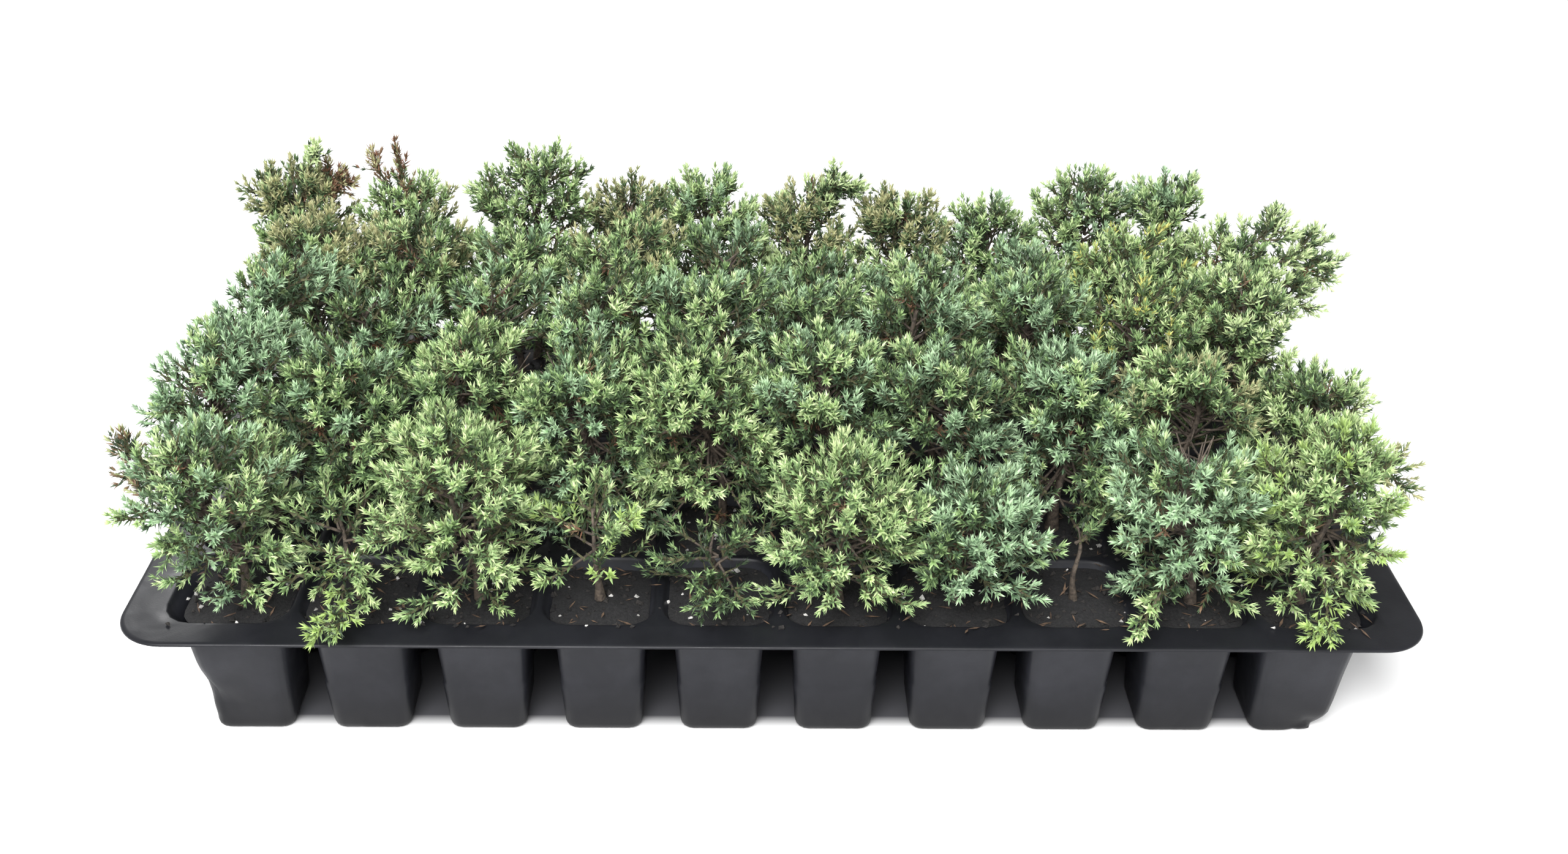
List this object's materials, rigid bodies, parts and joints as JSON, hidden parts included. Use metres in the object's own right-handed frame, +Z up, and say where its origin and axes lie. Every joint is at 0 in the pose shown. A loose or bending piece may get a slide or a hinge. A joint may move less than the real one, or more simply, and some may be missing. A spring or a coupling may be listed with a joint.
{
  "type": "tray of japanese garden junipers",
  "caption": "Black nursery plug tray planted with small creeping junipers grown into one dense evergreen mat.",
  "frame": {"origin": "middle of the tray's underside, at floor level", "axes": "+X to the right along the ten cells, +Y away from the viewer along the five cells, +Z up"},
  "size_m": [0.563, 0.2975, 0.1825],
  "materials": {
    "tray": "satin",
    "potting_mix": "rough",
    "bark": "rough",
    "foliage": "matte"
  },
  "bodies": {
    "root": {"plug_tray": "tray", "potting_mix": "potting_mix", "stem_1_01": "bark", "stem_1_02": "bark", "stem_1_03": "bark", "stem_1_04": "bark", "stem_1_06": "bark", "stem_1_07": "bark", "stem_1_09": "bark", "stem_1_10": "bark", "juniper_1_01": "foliage", "juniper_1_02": "foliage", "juniper_1_03": "foliage", "juniper_1_04": "foliage", "juniper_1_05": "foliage", "juniper_1_06": "foliage", "juniper_1_07": "foliage", "juniper_1_08": "foliage", "juniper_1_09": "foliage", "juniper_1_10": "foliage", "juniper_2_01": "foliage", "juniper_2_02": "foliage", "juniper_2_03": "foliage", "juniper_2_04": "foliage", "juniper_2_05": "foliage", "juniper_2_06": "foliage", "juniper_2_07": "foliage", "juniper_2_08": "foliage", "juniper_2_09": "foliage", "juniper_2_10": "foliage", "juniper_3_01": "foliage", "juniper_3_02": "foliage", "juniper_3_03": "foliage", "juniper_3_04": "foliage", "juniper_3_05": "foliage", "juniper_3_06": "foliage", "juniper_3_07": "foliage", "juniper_3_08": "foliage", "juniper_3_09": "foliage", "juniper_3_10": "foliage", "juniper_4_01": "foliage", "juniper_4_02": "foliage", "juniper_4_03": "foliage", "juniper_4_04": "foliage", "juniper_4_05": "foliage", "juniper_4_06": "foliage", "juniper_4_07": "foliage", "juniper_4_08": "foliage", "juniper_4_09": "foliage", "juniper_4_10": "foliage", "juniper_5_01": "foliage", "juniper_5_02": "foliage", "juniper_5_03": "foliage", "juniper_5_04": "foliage", "juniper_5_05": "foliage", "juniper_5_06": "foliage", "juniper_5_07": "foliage", "juniper_5_08": "foliage", "juniper_5_09": "foliage", "juniper_5_10": "foliage"}
  },
  "joints": []
}
